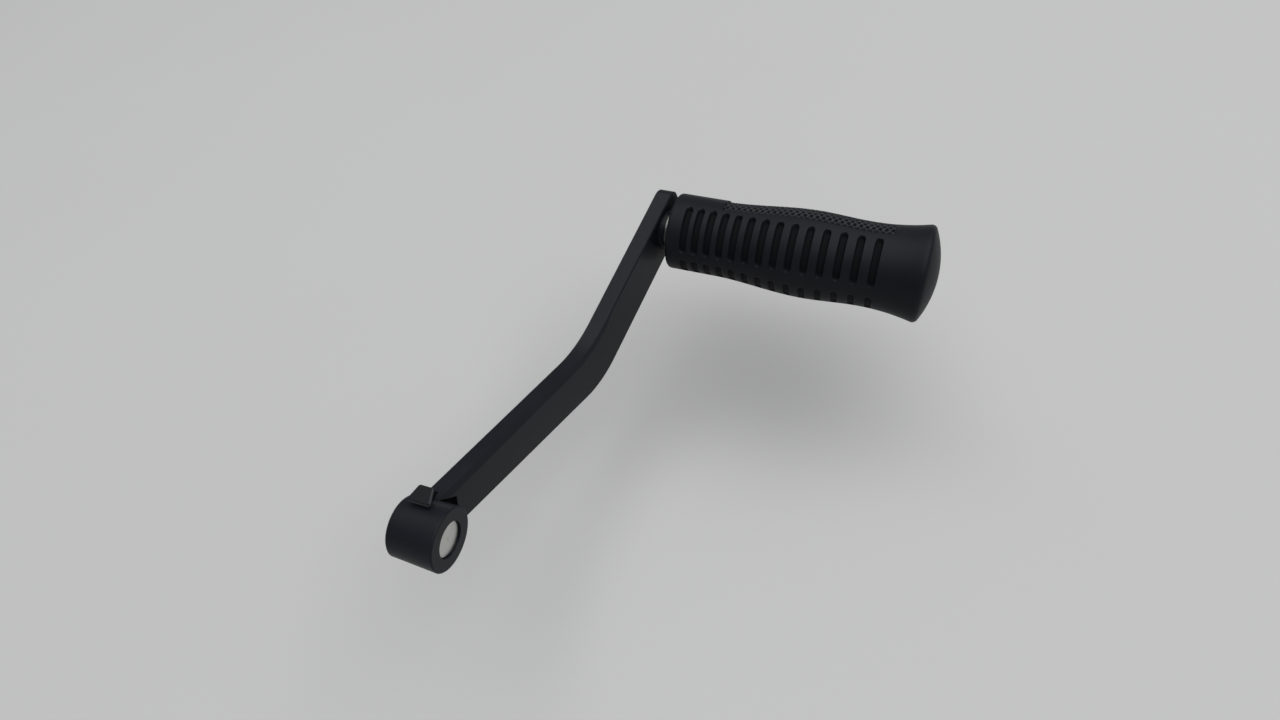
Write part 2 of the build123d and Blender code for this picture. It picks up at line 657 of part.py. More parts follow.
with BuildPart() as knurl_pit:
    # One pit's cutter: a square well that narrows inwards, from as far outside as it is deep
    pit_mouth = 2 * KNURL_PIT_WIDTH - KNURL_PIT_FLOOR
    pit_slant = KNURL_PIT_WIDTH - KNURL_PIT_FLOOR
    Wedge(
        pit_mouth,
        2 * KNURL_PIT_DEPTH,
        pit_mouth,
        pit_slant,
        pit_slant,
        pit_mouth - pit_slant,
        pit_mouth - pit_slant,
        rotation=(-90, 0, 0),
        align=(Align.CENTER, Align.MIN, Align.CENTER),
    )

with BuildPart() as grip_sleeve:
    # Outer form: collar, bulge, neck and flare, closed by a shallow dome
    sleeve_apex = sleeve_rim + SLEEVE_DOME
    dome_radius = (SLEEVE_FLARE_RADIUS ** 2 + SLEEVE_DOME ** 2) / (2 * SLEEVE_DOME)
    with BuildSketch(grip_section) as sleeve_profile:
        with BuildLine():
            side = sleeve_side(0)
            Line((grip_start, 0), side[0])
            collar = Line(side[0], side[1])
            outline = Spline(*side[1:], tangents=[collar % 1, FLARE_DIRECTION])
            RadiusArc(side[-1], (sleeve_apex, 0), dome_radius)
            Line((sleeve_apex, 0), (grip_start, 0))
        make_face()
        fillet(corner(sleeve_profile, side[0]), radius=SLEEVE_COLLAR_FILLET)
        fillet(corner(sleeve_profile, side[-1]), radius=SLEEVE_RIM_FILLET)
    revolve(axis=grip_axis)

    cut_slots(REAR_SLOT_ANGLE, REAR_SLOT_LENGTH, REAR_SLOT_DEPTH)
    cut_slots(FRONT_SLOT_ANGLE, FRONT_SLOT_LENGTH, FRONT_SLOT_DEPTH)

    # Palm panel: sunk at the collar, running out to the surface before the neck
    with BuildSketch(round_plane(-KNURL_HALF_ANGLE)) as palm:
        with BuildLine():
            panel_floor = knurl_floor()
            Polyline(
                *panel_floor,
                (panel_floor[-1][0], SLEEVE_FLARE_RADIUS),
                (panel_floor[0][0], SLEEVE_FLARE_RADIUS),
                close=True,
            )
        make_face()
    revolve(palm.sketch, axis=grip_axis, revolution_arc=2 * KNURL_HALF_ANGLE, mode=Mode.SUBTRACT)

    # Diamond pits over the panel and on to the neck
    with Locations(*knurl_places()):
        add(knurl_pit.part, rotation=(0, 0, 45), mode=Mode.SUBTRACT)

    # Bore for the core, running on round the spindle's end
    with BuildSketch(grip_plane(grip_start)):
        Circle(CORE_RADIUS + SEAT_CLEARANCE)
    extrude(amount=sleeve_apex - SLEEVE_END_WALL - grip_start, mode=Mode.SUBTRACT)


# ---------------------------------------------------------------- files
save(crank_arm, "crank_arm")
save(drive_bush, "drive_bush")
save(latch_lever, "latch_lever")
save(latch_pin, "latch_pin")
save(latch_spring, "latch_spring")
save(grip_spindle, "grip_spindle")
save(spindle_nut, "spindle_nut")
save(thrust_washer, "thrust_washer")
save(cone_washer, "cone_washer")
save(end_washer, "end_washer")
save(retaining_ring, "retaining_ring")
save(inner_bush, "inner_bush")
save(outer_bush, "outer_bush")
save(grip_core, "grip_core")
save(grip_sleeve, "grip_sleeve")
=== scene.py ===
# %% [markdown]
# # A hand crank with a turning rubber grip
#
# The solids of the crank come from its model, each in its own place. This lesson gives them their
# finishes, remakes the rubber sleeve with its moulded pattern, and sets the crank over a pale bench
# under soft light. Everything is in metres, with X along the shaft, Y along the throw and Z up.

# %% Load the crank
import bpy
import math
import numpy as np
from mathutils import Matrix, Vector


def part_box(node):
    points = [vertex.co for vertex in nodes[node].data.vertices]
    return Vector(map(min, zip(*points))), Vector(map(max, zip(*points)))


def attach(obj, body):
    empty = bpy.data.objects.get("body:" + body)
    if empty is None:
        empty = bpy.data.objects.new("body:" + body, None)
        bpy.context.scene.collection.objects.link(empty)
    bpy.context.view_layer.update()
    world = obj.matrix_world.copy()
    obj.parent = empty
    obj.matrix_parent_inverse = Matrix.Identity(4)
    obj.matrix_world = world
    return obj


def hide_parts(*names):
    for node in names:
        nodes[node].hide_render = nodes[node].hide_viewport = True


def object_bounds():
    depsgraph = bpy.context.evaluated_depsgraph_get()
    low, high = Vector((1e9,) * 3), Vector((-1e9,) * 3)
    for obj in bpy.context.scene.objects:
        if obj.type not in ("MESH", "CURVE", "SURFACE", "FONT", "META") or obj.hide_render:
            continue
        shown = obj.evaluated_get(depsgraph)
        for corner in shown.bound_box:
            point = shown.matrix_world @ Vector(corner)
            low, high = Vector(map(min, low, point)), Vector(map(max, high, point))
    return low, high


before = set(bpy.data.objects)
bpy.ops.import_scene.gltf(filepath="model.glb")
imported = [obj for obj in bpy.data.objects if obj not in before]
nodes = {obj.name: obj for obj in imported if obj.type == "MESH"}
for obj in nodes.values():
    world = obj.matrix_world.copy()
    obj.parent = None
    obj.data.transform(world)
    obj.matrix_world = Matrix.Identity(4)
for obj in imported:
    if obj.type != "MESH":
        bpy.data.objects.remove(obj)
model_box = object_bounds()
scene = bpy.context.scene
scene.view_settings.view_transform = "Standard"
MM = 0.001
print("solids:", sorted(nodes))

# %% [markdown]
# ## Writing finishes as sums
#
# A finish that looks real changes a little from place to place: it is rougher here, darker there,
# and never quite flat. In Blender that takes many small maths nodes, and placing them one by one
# hides the idea. So one class stands for a finish, and another for any value in it, and an
# expression such as `0.4 + 0.1 * grain` adds its own nodes.

# %% A value in a finish
class Value:
    """One output of a finish's nodes, which sums can be written with."""

    def __init__(self, finish, socket):
        self.finish = finish
        self.socket = socket

    def __add__(self, other):
        return self.finish.maths("ADD", self, other)

    def __sub__(self, other):
        return self.finish.maths("SUBTRACT", self, other)

    def __rsub__(self, other):
        return self.finish.maths("SUBTRACT", other, self)

    def __mul__(self, other):
        return self.finish.maths("MULTIPLY", self, other)

    def __pow__(self, other):
        return self.finish.maths("POWER", self, other)

    __radd__ = __add__
    __rmul__ = __mul__


# %% A finish
class Finish:
    """A material: one surface shader, and the nodes that vary it from place to place."""

    def __init__(self, name, constants):
        self.material = bpy.data.materials.new(name)
        self.material.use_nodes = True
        self.tree = self.material.node_tree
        self.shader = self.tree.nodes["Principled BSDF"]
        for socket, value in constants.items():
            self.shader.inputs[socket].default_value = value
        self.place = Value(self, self.tree.nodes.new("ShaderNodeTexCoord").outputs["Object"])

    def give(self, socket, value):
        """Put a number, a colour or another node's value into a socket."""
        if isinstance(value, Value):
            self.tree.links.new(value.socket, socket)
        else:
            socket.default_value = value

    def add(self, kind, settings, sockets, output=0):
        """Add a node: its settings first, then its sockets, and return one of its outputs."""
        node = self.tree.nodes.new("ShaderNode" + kind)
        for name, value in settings.items():
            setattr(node, name, value)
        for name, value in sockets.items():
            self.give(node.inputs[name], value)
        return Value(self, node.outputs[output])

    def maths(self, operation, first, second=0.0):
        """One sum of two values."""
        return self.add("Math", {"operation": operation}, {0: first, 1: second})

    def axes(self):
        """How far along X, Y and Z the place is, as three values."""
        first = self.add("SeparateXYZ", {}, {"Vector": self.place})
        return [Value(self, output) for output in first.socket.node.outputs]

    def grain(self, size, detail=2.0):
        """A cloudy pattern from 0 to 1 whose lumps are about `size` metres across."""
        return self.add("TexNoise", {}, {"Vector": self.place, "Scale": 1.0 / size, "Detail": detail})

    def ramp(self, value, low, high):
        """0 below `low`, 1 above `high`, and smooth between them."""
        settings = {"interpolation_type": "SMOOTHSTEP"}
        return self.add("MapRange", settings, {"Value": value, "From Min": low, "From Max": high})

    def blend(self, share, first, second):
        """A colour between two others."""
        sockets = {"Factor": share, 6: first, 7: second}
        return self.add("Mix", {"data_type": "RGBA"}, sockets, 2)

    def relief(self, height, depth):
        """Let a height pattern bend the light, as bumps of `depth` metres would."""
        bump = self.add("Bump", {}, {"Height": height, "Distance": depth})
        self.give(self.shader.inputs["Normal"], bump)

    def shade(self, share, colour):
        """Pass from the surface shader to a plain matt colour by a share from 0 to 1."""
        glossy = Value(self, self.shader.outputs["BSDF"])
        matt = self.add("BsdfDiffuse", {}, {"Color": colour})
        mixed = self.add("MixShader", {}, {0: share, 1: glossy, 2: matt})
        self.give(self.tree.nodes["Material Output"].inputs["Surface"], mixed)

    def vary(self, socket, value):
        """Let a value drive one of the surface shader's sockets."""
        self.give(self.shader.inputs[socket], value)


# %% [markdown]
# ## The painted casting
#
# The arm and its hub are one aluminium casting under a satin black powder coat. The coat softens
# the light into a dull sheen, and close up it has a very fine orange peel. Two grains at different
# sizes give that: the small one bends the light, and the large one lets the sheen wander. The coat
# reflects less than bare plastic would, so its specular level is low.

# %% Black coat on the casting
coat = Finish("satin_black_coat", {"Specular IOR Level": 0.12})
coat_cloud = coat.grain(22 * MM, 3.0)
coat_peel = coat.grain(0.6 * MM)
dark_coat = (0.0076, 0.0086, 0.0120, 1)
light_coat = (0.0096, 0.0108, 0.0148, 1)
coat.vary("Base Color", coat.blend(coat.ramp(coat_cloud, 0.3, 0.7), dark_coat, light_coat))
coat.vary("Roughness", 0.33 + 0.10 * coat_cloud + 0.06 * coat_peel)
coat.relief(coat_peel, 0.04 * MM)
print("finish:", coat.material.name)

# %% [markdown]
# ### Painted shade in the dark corner beside the hub
#
# Where the arm's sunk panel runs under the hub it makes a deep corner, and little light comes back out
# of it. A lamp alone doesn't show that on a surface this dark, so the coat is painted a plain matt black
# there, as painted shade. A mask says where: each line of it is one distance, and their product is the
# painted shade.

# %% Dark corner: painted shade
FACE_AT_SHAFT = 9.6 * MM
FACE_LEAN = 0.1512
SUNK_FROM, SUNK_TO = 2.05 * MM, 2.5 * MM
CORNER_END = 20.0 * MM
HUB_SIDE = 12.2 * MM
UPPER_EDGE = 7.8 * MM
EDGE_SLOPE = 0.2027
CORNER_BLUR = 0.1 * MM
coat_x, coat_y, coat_z = coat.axes()
under_face = FACE_AT_SHAFT + FACE_LEAN * coat_y - coat_x
from_shaft = (coat_y * coat_y + coat_z * coat_z) ** 0.5
under_edge = UPPER_EDGE - coat_z - EDGE_SLOPE * coat_y
corner = coat.ramp(under_face, SUNK_FROM, SUNK_FROM + 1.5 * CORNER_BLUR)
corner = corner * coat.ramp(SUNK_TO - under_face, 0.0, CORNER_BLUR)
corner = corner * coat.ramp(CORNER_END - coat_y, 0.0, 5 * CORNER_BLUR)
corner = corner * coat.ramp(from_shaft, HUB_SIDE - CORNER_BLUR, HUB_SIDE + CORNER_BLUR)
corner = corner * coat.ramp(under_edge, 0.0, 2 * CORNER_BLUR)
# painted shade: the coat turns plain matt black in the corner
coat.shade(corner, (0.0075, 0.0075, 0.0078, 1))
print("nodes in the coat:", len(coat.tree.nodes))

# %% [markdown]
# ## The thumb latch
#
# The latch is moulded nylon, a little duller than the coat, and its pad is painted paler along two
# edges: a painted highlight where those edges catch the light. The edges are found as the dark corner
# was, by their distances: one runs along X at the pad's front, and the other slants, because the pad
# narrows towards its top.

# %% Black nylon
PAD_FRONT = 3.2 * MM
PAD_TOP = 11.2 * MM
PAD_SIDE = 13.0 * MM
PAD_TAPER = 0.454
HIGHLIGHT_FULL, HIGHLIGHT_NONE = 0.1 * MM, 0.4 * MM
nylon = Finish("black_nylon", {"Specular IOR Level": 0.15})
nylon_grain = nylon.grain(0.4 * MM)
nylon_x, nylon_y, _ = nylon.axes()
from_front = nylon_y - PAD_FRONT
from_side = PAD_SIDE - nylon_x - PAD_TAPER * from_front
# painted highlight along the pad's front edge and its slanted side edge
front_edge_highlight = 1 - nylon.ramp(from_front, HIGHLIGHT_FULL, HIGHLIGHT_NONE)
side_edge_highlight = 1 - nylon.ramp(from_side, HIGHLIGHT_FULL, HIGHLIGHT_NONE)
side_edge_highlight = side_edge_highlight * nylon.ramp(PAD_TOP - nylon_y, 0.0, 0.4 * MM)
edge_highlight = nylon.maths("MAXIMUM", front_edge_highlight, side_edge_highlight)
nylon_colour = nylon.blend(nylon_grain, (0.009, 0.0098, 0.0115, 1), (0.012, 0.0128, 0.0145, 1))
# painted highlight: the two edges turn paler
nylon.vary("Base Color", nylon.blend(edge_highlight, nylon_colour, (0.045, 0.046, 0.050, 1)))
nylon.vary("Roughness", 0.42 + 0.12 * nylon_grain)
nylon.relief(nylon_grain, 0.03 * MM)
print("finish:", nylon.material.name)

# %% [markdown]
# ## Rubber
#
# The grip is a soft rubber: almost matt, with a fine spark-eroded texture from its mould. The floors of
# its slots and pits see little light, so they are painted darker and matt, as painted shade, and the
# ribs between the pits are paler. No distance finds them all, so the sleeve's mesh carries one number at
# each point, called `sunk`, from -1 on a rib through 0 on the plain skin to 1 on a floor.

# %% Black rubber
rubber = Finish("black_rubber_skin", {"Specular IOR Level": 0.11})
rubber_cloud = rubber.grain(16 * MM, 3.0)
rubber_grain = rubber.grain(0.5 * MM, 3.0)
sunk = rubber.add("Attribute", {"attribute_name": "sunk"}, {}, 2)
# painted shade: the slot and pit floors are darker
painted_floor_shade = rubber.ramp(sunk, 0.0, 1.0)
rib_share = rubber.ramp(0.0 - sunk, 0.0, 1.0)
dark_skin = (0.0072, 0.0079, 0.0106, 1)
light_skin = (0.0092, 0.0100, 0.0132, 1)
skin_colour = rubber.blend(rubber.ramp(rubber_cloud, 0.3, 0.75), dark_skin, light_skin)
rib_colour = rubber.blend(rib_share, skin_colour, (0.030, 0.031, 0.034, 1))
rubber.vary("Base Color", rubber.blend(painted_floor_shade, rib_colour, (0.0040, 0.0044, 0.0055, 1)))
rubber.vary("Roughness", 0.40 + 0.10 * rubber_cloud + 0.08 * rubber_grain + 0.30 * painted_floor_shade)
rubber.relief(rubber_grain, 0.05 * MM)
# painted shade: the floors turn to a plain matt colour
rubber.shade(painted_floor_shade, (0.0085, 0.0088, 0.0100, 1))
print("finish:", rubber.material.name)

# %% [markdown]
# ## Steel, zinc plate and bush plastic
#
# The drive bush is turned steel: the tool leaves faint rings round its axis, which a sine of the
# distance from the shaft's line gives, and its rim is a little brighter. The nut, washers and spindle
# are zinc plated, with the plating's slight blotches. The bushes inside the grip are dark
# self-lubricating plastic.

# %% Turned steel
TOOL_FEED = 0.35 * MM
RIM_FROM, RIM_TO = 6.2 * MM, 6.9 * MM
steel = Finish("turned_steel", {"Metallic": 1.0})
_, steel_y, steel_z = steel.axes()
steel_radius = (steel_y * steel_y + steel_z * steel_z) ** 0.5
turning = steel.maths("SINE", steel_radius * (2 * math.pi / TOOL_FEED))
steel_cloud = steel.grain(4 * MM, 3.0)
steel_colour = steel.blend(steel_cloud, (0.53, 0.53, 0.505, 1), (0.61, 0.61, 0.585, 1))
steel_rim = steel.ramp(steel_radius, RIM_FROM, RIM_TO)
steel.vary("Base Color", steel.blend(steel_rim, steel_colour, (0.66, 0.66, 0.64, 1)))
steel.vary("Roughness", 0.36 + 0.08 * steel_cloud + 0.02 * turning)
steel.relief(turning, 0.003 * MM)
print("finish:", steel.material.name)

# %% Zinc plate
zinc = Finish("zinc_plate", {"Metallic": 1.0})
zinc_cloud = zinc.grain(2 * MM, 4.0)
zinc.vary("Base Color", zinc.blend(zinc_cloud, (0.12, 0.12, 0.118, 1), (0.24, 0.24, 0.235, 1)))
zinc.vary("Roughness", 0.28 + 0.16 * zinc_cloud)
zinc.relief(zinc_cloud, 0.02 * MM)
print("finish:", zinc.material.name)

# %% Dark bush plastic
acetal = Finish("dark_acetal", {"Specular IOR Level": 0.5})
acetal_grain = acetal.grain(0.8 * MM)
acetal.vary("Base Color", acetal.blend(acetal_grain, (0.045, 0.045, 0.043, 1), (0.060, 0.060, 0.057, 1)))
acetal.vary("Roughness", 0.40 + 0.10 * acetal_grain)
print("finish:", acetal.material.name)

# %% [markdown]
# ## Dressing the solids
#
# A solid whose shape is right keeps its mesh, and only its material changes. Two pieces deserve a
# word: the latch's pin and spring are black like the casting, because they sit in its shade and a
# bright one would draw the eye.

# %% Dress the solids
worn = {
    "crank_arm": coat,
    "drive_bush": steel,
    "latch_lever": nylon,
    "latch_pin": coat,
    "latch_spring": coat,
    "grip_spindle": zinc,
    "spindle_nut": zinc,
    "thrust_washer": zinc,
    "cone_washer": zinc,
    "end_washer": zinc,
    "retaining_ring": zinc,
    "inner_bush": acetal,
    "outer_bush": acetal,
    "grip_core": nylon,
}
for name, finish in worn.items():
    for slot in nodes[name].material_slots:
        slot.material = finish.material
print("dressed:", len(worn), "solids")

# %% [markdown]
# ## The rubber sleeve
#
# The sleeve is the crank's most worked piece: one rubber moulding with a collar, a swelling for the
# palm, a flared and domed end, two panels of round-ended slots and a diamond knurl. Cutting each slot
# and diamond with its own solid would leave hundreds of seams, and real rubber has none. So the
# sleeve is turned like a pot from one profile, with its rings and columns set close where the pattern
# is fine, and then each point of its skin sinks by the depth of the pattern at that place.

# %% The sleeve's sizes
FLARE = 21.8 * MM
DOME = 5.6 * MM
COLLAR = 17.5 * MM
COLLAR_FILLET = 1.2 * MM
RIM_FILLET = 2.5 * MM
END_WALL = 7.0 * MM
BORE_GAP = 0.05 * MM
sleeve_low, sleeve_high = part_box("grip_sleeve")
core_low, core_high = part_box("grip_core")
START = sleeve_low[0]
RIM = sleeve_high[0] - DOME
BORE_END = sleeve_high[0] - END_WALL
BORE = (core_high[1] - core_low[1]) / 2 + BORE_GAP
AXIS_Y = (core_low[1] + core_high[1]) / 2
print("sleeve from", round(START / MM, 1), "to", round(RIM / MM, 1), "mm, flare", round(FLARE / MM, 2))

# %% [markdown]
# ### Its side
#
# The side swells and narrows without a corner. Five stations give its radius at the collar, the
# palm's swell, the bulge, the neck and the rim, and the smoothest cubic through them gives the rest.
# Its slope is set at both ends: level where it leaves the collar, and outwards at the rim.

# %% A smooth curve through the stations
RIM_SLOPE = 0.27
stations = np.append(START + np.array([22.9, 42.5, 64.5, 86.5]) * MM, RIM)
radii = np.array([COLLAR, 18.8 * MM, 20.0 * MM, 18.75 * MM, FLARE])


def smooth_slopes(places, values, first, last):
    """The slope at each station of the smoothest cubic through them all, with its end slopes given."""
    gaps, steps = np.diff(places), np.diff(values)
    table, right = np.zeros((len(places), len(places))), np.zeros(len(places))
    table[0, 0], right[0] = 1, first
    table[-1, -1], right[-1] = 1, last
    for k in range(1, len(places) - 1):
        table[k, k - 1 : k + 2] = (1 / gaps[k - 1], 2 / gaps[k - 1] + 2 / gaps[k], 1 / gaps[k])
        right[k] = 3 * steps[k - 1] / gaps[k - 1] ** 2 + 3 * steps[k] / gaps[k] ** 2
    return np.linalg.solve(table, right)


slopes = smooth_slopes(stations, radii, 0.0, RIM_SLOPE)
print("slopes at the stations:", [round(float(slope), 3) for slope in slopes])


# %% The side's radius anywhere
def side_radius(x):
    """The skin's radius at x, from the cubic between the two stations round it."""
    x = np.clip(np.asarray(x), stations[0], RIM)
    left = np.clip(np.searchsorted(stations, x, side="right") - 1, 0, len(stations) - 2)
    span = stations[left + 1] - stations[left]
    t = (x - stations[left]) / span
    value = radii[left] * (1 + 2 * t) * (1 - t) ** 2 + radii[left + 1] * (3 - 2 * t) * t ** 2
    return value + slopes[left] * span * t * (1 - t) ** 2 - slopes[left + 1] * span * (1 - t) * t ** 2


print("widest radius:", round(float(side_radius(np.linspace(START, RIM, 200)).max()) / MM, 2), "mm")

# %% [markdown]
# ### Where the pattern goes
#
# Two panels of fourteen slots run along the sleeve, one that faces up and forward and a shallower
# one below it. The slots stand a little further apart towards the flare. The knurl covers the half
# that the palm closes on, and its diamonds are longer round the grip than along it.

# %% Slots and knurl
SLOT_COUNT = 14
SLOT_FIRST, SLOT_STEP, SLOT_GROWTH = 8.6 * MM, 5.42 * MM, 0.082 * MM
SLOT_HALF = 1.6 * MM
UPPER_PANEL = {"facing": 135.0, "half_length": 8.8 * MM, "depth": 1.7 * MM}
LOWER_PANEL = {"facing": 205.0, "half_length": 4.4 * MM, "depth": 0.8 * MM}
slot_places = [START + SLOT_FIRST + SLOT_STEP * n + SLOT_GROWTH * n * n for n in range(SLOT_COUNT)]
KNURL_FROM = START + 22.9 * MM
KNURL_TO = START + 98.4 * MM
KNURL_HALF = 91.0
KNURL_PITCH = 2.7 * MM
KNURL_ROUND = 4.6 * MM
KNURL_RADIUS = 19.3 * MM
PIT_DEPTH = 0.95 * MM
KNURL_RECESS = 0.55 * MM
RECESS_FADE = 60 * MM
print("slots at, in mm:", [round((place - START) / MM, 1) for place in slot_places])

# %% [markdown]
# ### The profile
#
# The profile is a row of points from the bore's closed end, out over the collar, along the side and
# round the domed end back to the axis. A slot's wall needs points close together on both of its rims,
# and the knurl needs them everywhere, so the gaps between the others are filled to suit.

# %% Rings: close at each slot's two rims and in the knurl, wide elsewhere
KNURL_RING_GAP, PLAIN_RING_GAP = 0.44 * MM, 1.6 * MM
wall_steps = np.array([0.40, 0.14, -0.02, -0.20, -0.38, -0.80]) * MM
rings = {START + COLLAR_FILLET, RIM - RIM_FILLET}
for centre in slot_places:
    rings.add(centre)
    for step in wall_steps:
        rings.update((centre - SLOT_HALF - step, centre + SLOT_HALF + step))
rings.update((KNURL_FROM - 0.15 * MM, KNURL_FROM, KNURL_FROM + 0.12 * MM))
rings = sorted(rings)


def fill_gaps(values, widest):
    """Add values between the given ones, evenly, until no gap is wider than `widest`."""
    filled = [values[0]]
    for value in values[1:]:
        parts = max(1, math.ceil((value - filled[-1]) / widest - 1e-6))
        start = filled[-1]
        filled += [start + (value - start) * part / parts for part in range(1, parts + 1)]
    return filled


fine_rings = [x for x in rings if x < KNURL_TO] + [KNURL_TO]
wide_rings = [KNURL_TO] + [x for x in rings if x >= KNURL_TO]
rings = fill_gaps(fine_rings, KNURL_RING_GAP) + fill_gaps(wide_rings, PLAIN_RING_GAP)[1:]
print("rings on the side:", len(rings))


# %% From the bore's closed end out to the side
def arc(centre, radius, start, end, parts):
    """Points along an arc in the profile's plane, from one angle to another, ends left out."""
    angles = [start + (end - start) * part / parts for part in range(1, parts)]
    return [(centre[0] + radius * math.cos(a), centre[1] + radius * math.sin(a)) for a in angles]


profile = [(BORE_END, 0.0), (BORE_END, BORE), (START, BORE), (START, COLLAR - COLLAR_FILLET)]
profile += arc((START + COLLAR_FILLET, COLLAR - COLLAR_FILLET), COLLAR_FILLET, math.pi, math.pi / 2, 5)
profile += [(x, float(side_radius(x))) for x in rings]
print("profile points so far:", len(profile))

# %% [markdown]
# The rim's fillet is a circle that touches both the side's last slope and the dome from inside. Its
# centre slides along a line at one fillet's distance from the side, and halving the line again and
# again finds the place where the dome is as near.

# %% The rim's fillet and the dome close the profile
dome_radius = (FLARE ** 2 + DOME ** 2) / (2 * DOME)
dome_centre = RIM + DOME - dome_radius
rim_slope = math.atan2(float(side_radius(RIM) - side_radius(RIM - 0.5 * MM)), 0.5 * MM)


def rim_fillet():
    """The centre of the fillet circle, along the axis and out from it."""
    low, high = RIM - 4 * RIM_FILLET, RIM + DOME
    for _ in range(60):
        x = (low + high) / 2
        r = FLARE + math.tan(rim_slope) * (x - RIM) - RIM_FILLET / math.cos(rim_slope)
        if math.hypot(x - dome_centre, r) < dome_radius - RIM_FILLET:
            low = x
        else:
            high = x
    return x, r


fillet_x, fillet_r = rim_fillet()
dome_angle = math.atan2(fillet_r, fillet_x - dome_centre)
side_end = fillet_x - RIM_FILLET * math.sin(rim_slope)
profile = [p for p in profile if p[0] < side_end or p[1] < COLLAR - COLLAR_FILLET / 2]
profile += arc((fillet_x, fillet_r), RIM_FILLET, math.pi / 2 + rim_slope, dome_angle, 10)
profile += arc((dome_centre, 0), dome_radius, dome_angle, 0, 12)
profile.append((RIM + DOME, 0.0))
print("profile points:", len(profile), "fillet at", round(fillet_x / MM, 2), round(fillet_r / MM, 2))

# %% [markdown]
# ### Turning it
#
# A circle has its points joined in a ring already, so it makes the quickest wire: its points are
# moved onto the profile, and the one edge that closes the ring is deleted. The wire is then spun
# round the grip's axis, sector by sector, with more steps in a sector where the pattern is fine.

# %% Lay the profile as a wire, on the knurl's lower edge
def lay(point, angle):
    """A profile point placed in the crank, at an angle round the grip's axis."""
    return (point[0], AXIS_Y + point[1] * math.cos(angle), point[1] * math.sin(angle))


first_angle = math.radians(-KNURL_HALF)
bpy.ops.object.select_all(action="DESELECT")
bpy.ops.mesh.primitive_circle_add(vertices=len(profile), radius=FLARE)
sleeve = bpy.context.object
sleeve.name = "rubber_sleeve"
for vertex, point in zip(sleeve.data.vertices, profile):
    vertex.co = lay(point, first_angle)
closing = {0, len(profile) - 1}
for vertex in sleeve.data.vertices:
    vertex.select = False
for edge in sleeve.data.edges:
    edge.select = set(edge.vertices) == closing
bpy.ops.object.mode_set(mode="EDIT")
bpy.ops.mesh.select_mode(type="EDGE")
bpy.ops.mesh.delete(type="EDGE_FACE")
print("wire edges:", len(profile) - 1)

# %% Turn it round the axis: each sector is its degrees and its steps
knurl_sector = [(182.0, 104)]
upper_sectors = [(5.8, 2), (13.0, 20), (50.4, 15), (13.0, 20), (9.8, 3)]
lower_sectors = [(10.0, 15), (24.0, 8), (10.0, 15), (42.0, 14)]
bpy.ops.mesh.select_mode(type="VERT")
bpy.ops.mesh.select_all(action="SELECT")
for span, steps in knurl_sector + upper_sectors + lower_sectors:
    bpy.ops.mesh.spin(steps=steps, angle=math.radians(span), center=(0, AXIS_Y, 0), axis=(1, 0, 0))
bpy.ops.mesh.select_all(action="SELECT")
bpy.ops.mesh.remove_doubles(threshold=0.002 * MM)
bpy.ops.mesh.normals_make_consistent(inside=False)
bpy.ops.object.mode_set(mode="OBJECT")
print("sleeve:", len(sleeve.data.vertices), "points,", len(sleeve.data.polygons), "faces")

# %% [markdown]
# ### Sinking the pattern
#
# Every point now asks three things: how far along the grip it is, how far out, and at which angle.
# From those come the depth of a slot or a pit at that place, and the point moves towards the axis by
# the deeper of the two. Rounded steps between the levels leave the edges soft, as moulded rubber is.

# %% Each point's place on the skin
points = np.empty(len(sleeve.data.vertices) * 3)
sleeve.data.vertices.foreach_get("co", points)
points = points.reshape(-1, 3)
along = points[:, 0]
reach = np.hypot(points[:, 1] - AXIS_Y, points[:, 2])
angle = np.degrees(np.arctan2(points[:, 2], points[:, 1] - AXIS_Y)) % 360
skin = (reach > COLLAR - COLLAR_FILLET) & (along > START + COLLAR_FILLET * 0.9) & (along < side_end)
print("points on the skin:", int(skin.sum()))


# %% How deep the slots are at each point
def ease(value, low, high):
    """0 at `low`, 1 at `high`, and smooth between them."""
    t = np.clip((value - low) / (high - low), 0, 1)
    return t * t * (3 - 2 * t)


slot_sink = np.zeros(len(points))
for panel in (UPPER_PANEL, LOWER_PANEL):
    turned = np.radians(angle - panel["facing"])
    across = np.maximum(np.abs(reach * np.sin(turned)) - panel["half_length"], 0)
    for centre in slot_places:
        beyond = np.hypot(along - centre, across) - SLOT_HALF
        cut = panel["depth"] * ease(-beyond, -0.10 * MM, 0.36 * MM)
        slot_sink = np.maximum(slot_sink, np.where(np.cos(turned) > 0, cut, 0))
print("deepest slot:", round(float(slot_sink[skin].max()) / MM, 2), "mm")

# %% How deep the knurl is
turned = (angle + 180) % 360 - 180
round_skin = np.radians(turned) * KNURL_RADIUS
inside = ease(KNURL_HALF - np.abs(turned), 0.0, 1.5)
inside = inside * (along > KNURL_FROM) * ease(KNURL_TO - along, 0, 0.8 * MM)
one_way = (along - KNURL_FROM) / KNURL_PITCH + round_skin / KNURL_ROUND
other_way = (along - KNURL_FROM) / KNURL_PITCH - round_skin / KNURL_ROUND
from_rib = np.maximum(np.abs(one_way % 1 - 0.5), np.abs(other_way % 1 - 0.5)) * 2
pit = ease(-from_rib, -0.80, -0.45)
lowered = KNURL_RECESS * ease(KNURL_TO - along, 0, RECESS_FADE)
knurl_sink = inside * (PIT_DEPTH * pit + lowered)
print("deepest pit:", round(float(knurl_sink.max()) / MM, 2), "mm")

# %% Sink the skin
sink = np.maximum(slot_sink, knurl_sink)
shrink = np.where(skin, (reach - sink) / np.maximum(reach, MM), 1.0)
points[:, 1] = AXIS_Y + (points[:, 1] - AXIS_Y) * shrink
points[:, 2] *= shrink
sleeve.data.vertices.foreach_set("co", points.reshape(-1))
sleeve.data.update()
print("skin moved by up to", round(float(sink[skin].max()) / MM, 2), "mm")

